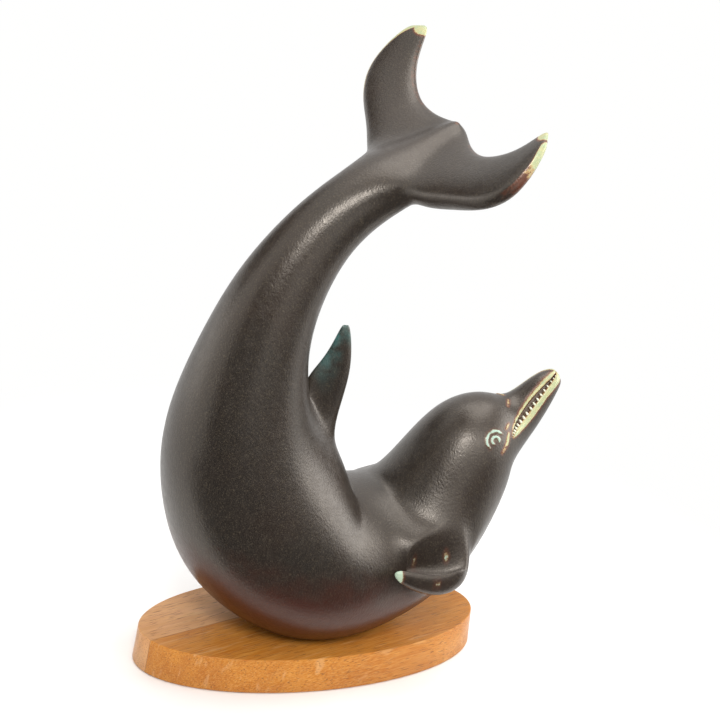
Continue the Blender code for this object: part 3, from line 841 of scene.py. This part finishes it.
def build_plinth(material):
    """The oval board with worn, rounded edges and its recess for the screw."""
    sides = PLINTH_SIDES
    arc = []
    for step in range(EDGE_STEPS + 1):
        turn = math.radians(90.0 * step / EDGE_STEPS)
        outset = -PLINTH_EDGE * (1.0 - math.cos(turn))
        arc.append((outset, PLINTH_HEIGHT - PLINTH_EDGE * (1.0 - math.sin(turn))))
    levels = [(PLINTH_FLARE - PLINTH_EDGE, 0.0), (PLINTH_FLARE, PLINTH_EDGE)] + arc
    bm = bmesh.new()
    rings = []
    for outset, height in levels:
        ring = []
        for step in range(sides):
            angle = 2.0 * math.pi * step / sides
            wear = EDGE_WEAR * math.sin(11.0 * angle + 0.6) * math.sin(4.0 * angle)
            wear = wear * (height > PLINTH_EDGE)
            inset = min(outset, outset * (1.0 + wear))
            x = (PLINTH_LENGTH / 2.0 + inset) * math.cos(angle)
            y = (PLINTH_WIDTH / 2.0 + inset) * math.sin(angle)
            ring.append(bm.verts.new((x * MM, y * MM, height * MM)))
        rings.append(ring)
    for lower, upper in zip(rings, rings[1:]):
        for face in join_rings(bm, lower, upper):
            face.smooth = True
    bm.faces.new(list(reversed(rings[0])))
    bm.faces.new(rings[-1])
    for ring in (rings[0], rings[-1]):
        for step in range(sides):
            bm.edges.get((ring[step], ring[(step + 1) % sides])).smooth = False
    item = link_mesh("oak_plinth", bm)
    profile = [
        (0.0, -CUT_OVERRUN),
        (RECESS_RADIUS, -CUT_OVERRUN),
        (RECESS_RADIUS, RECESS_DEPTH),
        (SCREW_HOLE_RADIUS, RECESS_DEPTH),
        (SCREW_HOLE_RADIUS, PLINTH_HEIGHT + CUT_OVERRUN),
        (0.0, PLINTH_HEIGHT + CUT_OVERRUN),
    ]
    cutter = turned_cutter(profile, ROUND_SIDES, FIXING_X)
    cut_away(item, [cutter])
    apply_modifiers(item, [cutter])
    item.data.materials.clear()
    item.data.materials.append(material)
    return item


class NodeBook:
    """Short calls that add shader nodes to one material; noise scales are per metre."""

    def __init__(self, name):
        self.material = bpy.data.materials.new(name)
        self.material.use_nodes = True
        self.tree = self.material.node_tree
        self.shader = self.tree.nodes["Principled BSDF"]
        self.place = self.add("ShaderNodeTexCoord").outputs["Object"]

    def add(self, kind, inputs=None, **settings):
        made = self.tree.nodes.new(kind)
        for name, value in settings.items():
            setattr(made, name, value)
        for name, value in (inputs or {}).items():
            self.feed(made.inputs[name], value)
        return made

    def feed(self, socket, value):
        if isinstance(value, bpy.types.NodeSocket):
            self.tree.links.new(value, socket)
        else:
            socket.default_value = value

    def stretched(self, scale, turn=0.0, vector=None):
        inputs = {"Vector": vector or self.place, "Scale": scale, "Rotation": (0.0, 0.0, turn)}
        return self.add("ShaderNodeMapping", inputs).outputs["Vector"]

    def noise(self, scale, detail=2.0, roughness=0.5, vector=None, distortion=0.0):
        inputs = {
            "Vector": vector or self.place,
            "Scale": scale,
            "Detail": detail,
            "Roughness": roughness,
            "Distortion": distortion,
        }
        return self.add("ShaderNodeTexNoise", inputs).outputs["Fac"]

    def spread(self, value, low, high, to_low=0.0, to_high=1.0, smooth=False):
        kind = "SMOOTHSTEP" if smooth else "LINEAR"
        inputs = {"Value": value, "From Min": low, "From Max": high, "To Min": to_low, "To Max": to_high}
        return self.add("ShaderNodeMapRange", inputs, interpolation_type=kind).outputs["Result"]

    def calculate(self, first, second, operation="ADD"):
        made = self.add("ShaderNodeMath", operation=operation)
        self.feed(made.inputs[0], first)
        self.feed(made.inputs[1], second)
        return made.outputs["Value"]

    def mix(self, share, first, second):
        made = self.add("ShaderNodeMix", data_type="RGBA", blend_type="MIX")
        self.feed(made.inputs[0], share)
        self.feed(made.inputs[6], (*first, 1.0) if isinstance(first, tuple) else first)
        self.feed(made.inputs[7], (*second, 1.0) if isinstance(second, tuple) else second)
        return made.outputs[2]

    def stored(self, name):
        return self.add("ShaderNodeAttribute", attribute_name=name).outputs["Fac"]

    def bump(self, height, strength, distance):
        inputs = {"Height": height, "Strength": strength, "Distance": distance}
        return self.add("ShaderNodeBump", inputs).outputs["Normal"]

    def finish(self, colour, roughness, normal=None, **constants):
        self.feed(self.shader.inputs["Base Color"], colour)
        self.feed(self.shader.inputs["Roughness"], roughness)
        if normal is not None:
            self.feed(self.shader.inputs["Normal"], normal)
        for name, value in constants.items():
            self.shader.inputs[name.replace("_", " ")].default_value = value
        return self.material


def glaze_material():
    """Iron-brown satin glaze: mottled and speckled, redder at the foot, pale where it runs thin, with
    painted shade in the open mouth.
    """
    book = NodeBook("brown_glaze")
    # Brown body with mottling, streaks down the form, ochre specks and dark pits.
    mottle = book.spread(book.noise(22.0, 4.0, 0.55), 0.38, 0.62)
    colour = book.mix(mottle, (0.0200, 0.0125, 0.0095), (0.0160, 0.0125, 0.0105))
    streak = book.noise(1.0, 3.0, 0.6, book.stretched((700.0, 700.0, 190.0)))
    colour = book.mix(book.spread(streak, 0.35, 0.7, 0.0, 0.4), colour, (0.034, 0.025, 0.018))
    speck = book.noise(1500.0, 1.5, 0.5)
    colour = book.mix(book.spread(speck, 0.54, 0.70, 0.0, 0.7), colour, (0.066, 0.052, 0.034))
    pit = book.noise(1100.0, 1.0, 0.5)
    colour = book.mix(book.spread(pit, 0.64, 0.74, 0.0, 0.4), colour, (0.009, 0.007, 0.007))

    # Redder and duller toward the foot, with a ragged upper edge.
    parts = book.add("ShaderNodeSeparateXYZ", {"Vector": book.place})
    height = book.calculate(parts.outputs["Z"], book.calculate(parts.outputs["X"], 0.18, "MULTIPLY"))
    uneven = book.calculate(book.noise(60.0, 4.0, 0.6), 0.03, "MULTIPLY")
    low = book.spread(book.calculate(height, uneven, "SUBTRACT"), 0.062, 0.030, smooth=True)
    colour = book.mix(book.calculate(low, 0.9, "MULTIPLY"), colour, (0.052, 0.0105, 0.0050))

    # Blue-green where the dorsal fin is thin.
    teal = book.calculate(book.stored("teal"), book.spread(book.noise(160.0, 3.0), 0.3, 0.7), "MULTIPLY")
    colour = book.mix(teal, colour, (0.050, 0.150, 0.142))

    # Breaks: the stored values are mm inside a mark's edge, which noise makes ragged.
    # From outside inward each mark goes from brown through orange to cream, or to pale green.
    ragged = book.spread(book.noise(420.0, 3.0, 0.6), 0.3, 0.7, -0.3, 0.3)
    thread = book.spread(book.noise(1600.0, 2.0, 0.6), 0.3, 0.7, -0.18, 0.18)
    pale = book.calculate(book.calculate(book.stored("pale"), ragged), thread)
    rust = book.calculate(book.calculate(book.stored("rust"), ragged), thread)
    rusty = book.spread(rust, -0.2, 0.6, 0.0, 0.8, smooth=True)
    colour = book.mix(rusty, colour, (0.105, 0.032, 0.014))
    bare = book.spread(book.stored("tint"), 0.0, 1.0, 0.85, 0.25)
    halo = book.spread(pale, -1.6, -0.3, smooth=True)
    colour = book.mix(book.calculate(halo, bare, "MULTIPLY"), colour, (0.110, 0.028, 0.011))
    warm = book.calculate(book.spread(pale, -0.25, 0.1, smooth=True), bare, "MULTIPLY")
    colour = book.mix(warm, colour, (0.480, 0.310, 0.130))
    greener = book.spread(book.noise(300.0, 2.0), 0.4, 0.65)
    cream = book.mix(greener, (0.460, 0.450, 0.230), (0.350, 0.420, 0.240))
    fresh = book.mix(book.stored("tint"), cream, (0.380, 0.520, 0.430))
    colour = book.mix(book.spread(pale, 0.0, 0.45, smooth=True), colour, fresh)
    # Painted shade inside the open mouth, and the dark pupil of the eye.
    mouth_shade_and_pupil = book.stored("mouth_shade_and_pupil")
    colour = book.mix(book.calculate(mouth_shade_and_pupil, 0.92, "MULTIPLY"), colour, (0.085, 0.052, 0.032))
    dull_at_foot = book.spread(low, 0.0, 1.0, 0.5, 0.3)

    roughness = book.spread(book.noise(260.0, 3.0), 0.3, 0.7, 0.29, 0.38)
    grain = book.noise(1.0, 1.0, 0.5, book.stretched((1000.0, 1000.0, 600.0)))
    normal = book.bump(grain, 1.0, 0.00011)
    book.feed(book.shader.inputs["Specular IOR Level"], dull_at_foot)
    return book.finish(colour, roughness, normal, IOR=1.7, Specular_Tint=(1.0, 0.905, 0.80, 1.0))


def tooth_material():
    book = NodeBook("tooth_glaze")
    tone = book.spread(book.noise(500.0, 2.0), 0.35, 0.65)
    colour = book.mix(tone, (0.760, 0.740, 0.600), (0.640, 0.660, 0.500))
    roughness = book.spread(book.noise(700.0, 2.0), 0.3, 0.7, 0.22, 0.34)
    return book.finish(colour, roughness, book.bump(book.noise(900.0), 0.2, 0.0001), IOR=1.6)


GRAIN_TURN = math.radians(14.0)
STAVE_JOINT = 13.8


def oak_material():
    """Two glued staves of oiled oak; rings and pores run through the wood along the grain."""
    book = NodeBook("oiled_oak")
    grain = book.stretched((1.0, 1.0, 1.0), -GRAIN_TURN)
    parts = book.add("ShaderNodeSeparateXYZ", {"Vector": grain})
    along, across, up = parts.outputs["X"], parts.outputs["Y"], parts.outputs["Z"]
    waver = book.calculate(book.spread(book.noise(20.0, 2.0), 0.0, 1.0, -0.5, 0.5), 0.0004, "MULTIPLY")
    joint = book.calculate(across, STAVE_JOINT * MM, "SUBTRACT")
    rear = book.spread(book.calculate(joint, waver), -0.00012, 0.00012)
    from_joint = book.add("ShaderNodeMath", {0: joint}, operation="ABSOLUTE").outputs[0]
    seam = book.spread(from_joint, 0.0, 0.0003, 1.0, 0.0)

    shifted = book.add("ShaderNodeCombineXYZ", {
        "X": book.calculate(along, book.calculate(rear, 0.4, "MULTIPLY")),
        "Y": book.calculate(across, book.calculate(rear, 0.07, "MULTIPLY")),
        "Z": book.calculate(up, book.calculate(across, 0.55, "MULTIPLY")),
    }).outputs["Vector"]
    flow = book.stretched((9.0, 150.0, 90.0), 0.0, shifted)
    rings = book.noise(1.0, 4.0, 0.6, flow, 0.6)
    fibre = book.noise(1.0, 4.0, 0.65, book.stretched((60.0, 1500.0, 1500.0), 0.0, shifted))
    pores = book.noise(1.0, 1.0, 0.5, book.stretched((130.0, 1900.0, 1900.0), 0.0, shifted))
    rays = book.noise(1.0, 1.0, 0.5, book.stretched((45.0, 420.0, 90.0), 0.0, shifted))
    blotch = book.noise(28.0, 3.0)

    front = book.mix(book.spread(rings, 0.35, 0.65), (0.440, 0.128, 0.008), (0.560, 0.205, 0.020))
    back = book.mix(book.spread(rings, 0.35, 0.65), (0.560, 0.280, 0.130), (0.740, 0.410, 0.210))
    colour = book.mix(rear, front, back)
    colour = book.mix(book.spread(fibre, 0.4, 0.7, 0.0, 0.5), colour, (0.780, 0.440, 0.130))
    colour = book.mix(book.spread(rays, 0.62, 0.72, 0.0, 0.35), colour, (0.760, 0.480, 0.220))
    colour = book.mix(book.spread(blotch, 0.35, 0.7, 0.0, 0.35), colour, (0.440, 0.170, 0.040))
    pore = book.spread(pores, 0.60, 0.70, 0.0, 0.75)
    colour = book.mix(pore, colour, (0.200, 0.070, 0.018))
    colour = book.mix(book.calculate(seam, 0.6, "MULTIPLY"), colour, (0.160, 0.055, 0.015))

    roughness = book.spread(book.noise(60.0, 3.0), 0.3, 0.7, 0.3, 0.44)
    height = book.calculate(book.calculate(fibre, 0.5, "MULTIPLY"), pore, "SUBTRACT")
    normal = book.bump(height, 0.45, 0.00012)
    return book.finish(colour, roughness, normal, IOR=1.45, Specular_IOR_Level=0.3)


def metal_material(name, tone):
    """Zinc-plated steel with fine turning marks and dull patches."""
    book = NodeBook(name)
    patch = book.spread(book.noise(300.0, 3.0), 0.35, 0.65)
    colour = book.mix(patch, tone, tuple(0.8 * part for part in tone))
    turned = book.noise(1.0, 2.0, 0.5, book.stretched((300.0, 300.0, 4000.0)))
    roughness = book.spread(patch, 0.0, 1.0, 0.28, 0.42)
    return book.finish(colour, roughness, book.bump(turned, 0.2, 0.00005), Metallic=1.0)


def beech_material():
    book = NodeBook("beech")
    fleck = book.noise(1.0, 3.0, 0.6, book.stretched((900.0, 900.0, 120.0)))
    colour = book.mix(book.spread(fleck, 0.35, 0.65), (0.600, 0.420, 0.250), (0.460, 0.290, 0.150))
    return book.finish(colour, book.spread(fleck, 0.3, 0.7, 0.55, 0.7), book.bump(fleck, 0.3, 0.0001))


def white_for_camera(tree):
    """A share that is 1 for camera, mirror and glass rays, which see the white background."""
    path = tree.nodes.new("ShaderNodeLightPath")
    share = path.outputs["Is Camera Ray"]
    for name in ("Is Glossy Ray", "Is Transmission Ray"):
        either = tree.nodes.new("ShaderNodeMath")
        either.operation = "MAXIMUM"
        tree.links.new(share, either.inputs[0])
        tree.links.new(path.outputs[name], either.inputs[1])
        share = either.outputs[0]
    return share


WORLD_LIGHT = 0.65


def build_world():
    world = bpy.data.worlds.new("studio")
    world.use_nodes = True
    bpy.context.scene.world = world
    tree = world.node_tree
    background = tree.nodes["Background"]
    background.inputs["Color"].default_value = (1.0, 1.0, 1.0, 1.0)
    strength = tree.nodes.new("ShaderNodeMapRange")
    strength.inputs["To Min"].default_value = WORLD_LIGHT
    strength.inputs["To Max"].default_value = 1.0
    tree.links.new(white_for_camera(tree), strength.inputs["Value"])
    tree.links.new(strength.outputs["Result"], background.inputs["Strength"])


FLOOR_HALF = 2.5
FLOOR_DROP = 0.0004
SHADOW_NEAR = 0.12
SHADOW_FAR = 0.32


def build_floor():
    """Pale table that keeps the object's shadow and fades into the white background."""
    bm = bmesh.new()
    bmesh.ops.create_grid(bm, x_segments=8, y_segments=8, size=FLOOR_HALF)
    floor = link_mesh("floor", bm)
    floor.location.z = -FLOOR_DROP
    book = NodeBook("pale_table")
    tone = book.spread(book.noise(14.0, 3.0), 0.3, 0.7)
    colour = book.mix(tone, (0.900, 0.890, 0.870), (0.930, 0.922, 0.905))
    book.finish(colour, book.spread(tone, 0.0, 1.0, 0.55, 0.65), book.bump(book.noise(900.0), 0.05, 0.0001))
    length = book.add("ShaderNodeVectorMath", {0: book.place}, operation="LENGTH").outputs["Value"]
    far = book.spread(length, SHADOW_NEAR, SHADOW_FAR, smooth=True)
    share = book.calculate(far, white_for_camera(book.tree), "MULTIPLY")
    glow = book.add("ShaderNodeEmission", {"Color": (1.0, 1.0, 0.995, 1.0), "Strength": 1.0})
    blend = book.add("ShaderNodeMixShader", {0: share})
    book.tree.links.new(book.shader.outputs[0], blend.inputs[1])
    book.tree.links.new(glow.outputs[0], blend.inputs[2])
    output = book.tree.nodes["Material Output"]
    book.tree.links.new(blend.outputs[0], output.inputs["Surface"])
    floor.data.materials.append(book.material)


LIGHT_AIM = Vector((0.015, 0.0, 0.15))
CAMERA_AZIMUTH = -90.0 - math.degrees(TURN)


# Name, turn, elevation, distance, width, height and power.
SOFT_LIGHTS = [
    ("left_softbox", -96.0, 2.0, 1.1, 0.8, 0.5, 1.2),
    ("right_softbox", 108.0, 18.0, 1.1, 1.1, 0.75, 9.2),
    ("top_softbox", 180.0, 78.0, 1.1, 1.0, 0.9, 7.0),
    ("front_window", -1.0, 41.0, 1.2, 0.34, 0.34, 7.0),
    ("right_window", 36.0, 36.0, 1.2, 0.4, 0.5, 1.6),
]
# Name, turn, elevation, distance, width, height, and whether the card lies on the table.
DARK_CARDS = [
    ("front_dark_card", -18.0, 11.0, 0.42, 0.45, 0.46, False),
    ("low_dark_card", 44.0, -12.0, 0.42, 0.64, 0.17, False),
    ("left_dark_card", -113.0, 24.0, 0.8, 0.7, 0.4, False),
    ("floor_dark_card", 16.0, 0.0, 0.26, 0.9, 0.36, True),
]
CARD_LIFT = 0.001


def toward_light(turn, elevation, distance):
    """A place around the object; turn is counted from the camera toward the picture's right."""
    azimuth = math.radians(CAMERA_AZIMUTH + turn)
    rise = math.radians(elevation)
    flat = distance * math.cos(rise)
    height = distance * math.sin(rise)
    return LIGHT_AIM + Vector((flat * math.cos(azimuth), flat * math.sin(azimuth), height))


def soft_light(name, turn, elevation, distance, width, height, power):
    light = bpy.data.lights.new(name, "AREA")
    light.shape = "RECTANGLE"
    light.size = width
    light.size_y = height
    light.energy = power
    item = bpy.data.objects.new(name, light)
    item.location = toward_light(turn, elevation, distance)
    item.rotation_euler = (LIGHT_AIM - item.location).to_track_quat("-Z", "Y").to_euler()
    bpy.context.scene.collection.objects.link(item)


def dark_card(name, turn, elevation, distance, width, height, lies_flat):
    """A black card that only mirror reflections see, like the dark room behind a photographer."""
    bm = bmesh.new()
    bmesh.ops.create_grid(bm, x_segments=1, y_segments=1, size=0.5)
    card = link_mesh(name, bm)
    card.scale = (width, height, 1.0)
    card.location = toward_light(turn, elevation, distance)
    card.rotation_euler = (LIGHT_AIM - card.location).to_track_quat("Z", "Y").to_euler()
    if lies_flat:
        card.location.z = CARD_LIFT
        card.rotation_euler = (0.0, 0.0, math.radians(CAMERA_AZIMUTH + turn + 90.0))
    book = NodeBook("black_felt")
    weave = book.spread(book.noise(400.0), 0.3, 0.7)
    colour = book.mix(weave, (0.010, 0.010, 0.010), (0.022, 0.021, 0.020))
    book.finish(colour, book.spread(weave, 0.0, 1.0, 0.9, 1.0))
    card.data.materials.append(book.material)
    card.visible_camera = False
    card.visible_diffuse = False
    card.visible_shadow = False
    card.visible_transmission = False


def build_camera():
    right = Vector((math.cos(TURN), -math.sin(TURN), 0.0))
    forward = Vector((math.sin(TURN) * math.cos(PITCH), math.cos(TURN) * math.cos(PITCH), -math.sin(PITCH)))
    up = Vector((math.sin(TURN) * math.sin(PITCH), math.cos(TURN) * math.sin(PITCH), math.cos(PITCH)))
    camera_x = right * math.cos(ROLL) + up * math.sin(ROLL)
    camera_y = up * math.cos(ROLL) - right * math.sin(ROLL)
    offset = right * -SIDE_SHIFT + up * -UP_SHIFT - forward * FOCAL_PIXELS
    place = Vector((0.0, 0.0, PLINTH_HEIGHT)) + offset * PIXEL_AT_OBJECT
    camera = bpy.data.cameras.new("camera")
    camera.sensor_width = 36.0
    camera.lens = camera.sensor_width * FOCAL_PIXELS / IMAGE_SIZE
    item = bpy.data.objects.new("camera", camera)
    turn = Matrix((camera_x, camera_y, -forward)).transposed().to_4x4()
    item.matrix_world = Matrix.Translation(place * MM) @ turn
    bpy.context.scene.collection.objects.link(item)
    bpy.context.scene.camera = item


def recolour(node, material):
    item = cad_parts[node]
    item.data.materials.clear()
    item.data.materials.append(material)


glaze = glaze_material()
oak = oak_material()
dolphin = build_dolphin(glaze)
teeth = build_teeth(tooth_material())
plinth = build_plinth(oak)
for piece, slot_name in ((dolphin, "stoneware_glaze"), (teeth, "stoneware_glaze"), (plinth, "oiled_oak")):
    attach(piece, "root")
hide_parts("dolphin")
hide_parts("plinth")
recolour("plinth_screw", metal_material("zinc_steel", (0.560, 0.550, 0.500)))
recolour("screw_washer", metal_material("dull_zinc_steel", (0.500, 0.500, 0.480)))
recolour("belly_plug", beech_material())

build_world()
build_floor()
for values in SOFT_LIGHTS:
    soft_light(*values)
for values in DARK_CARDS:
    dark_card(*values)
build_camera()
bpy.context.scene.view_settings.view_transform = "Standard"
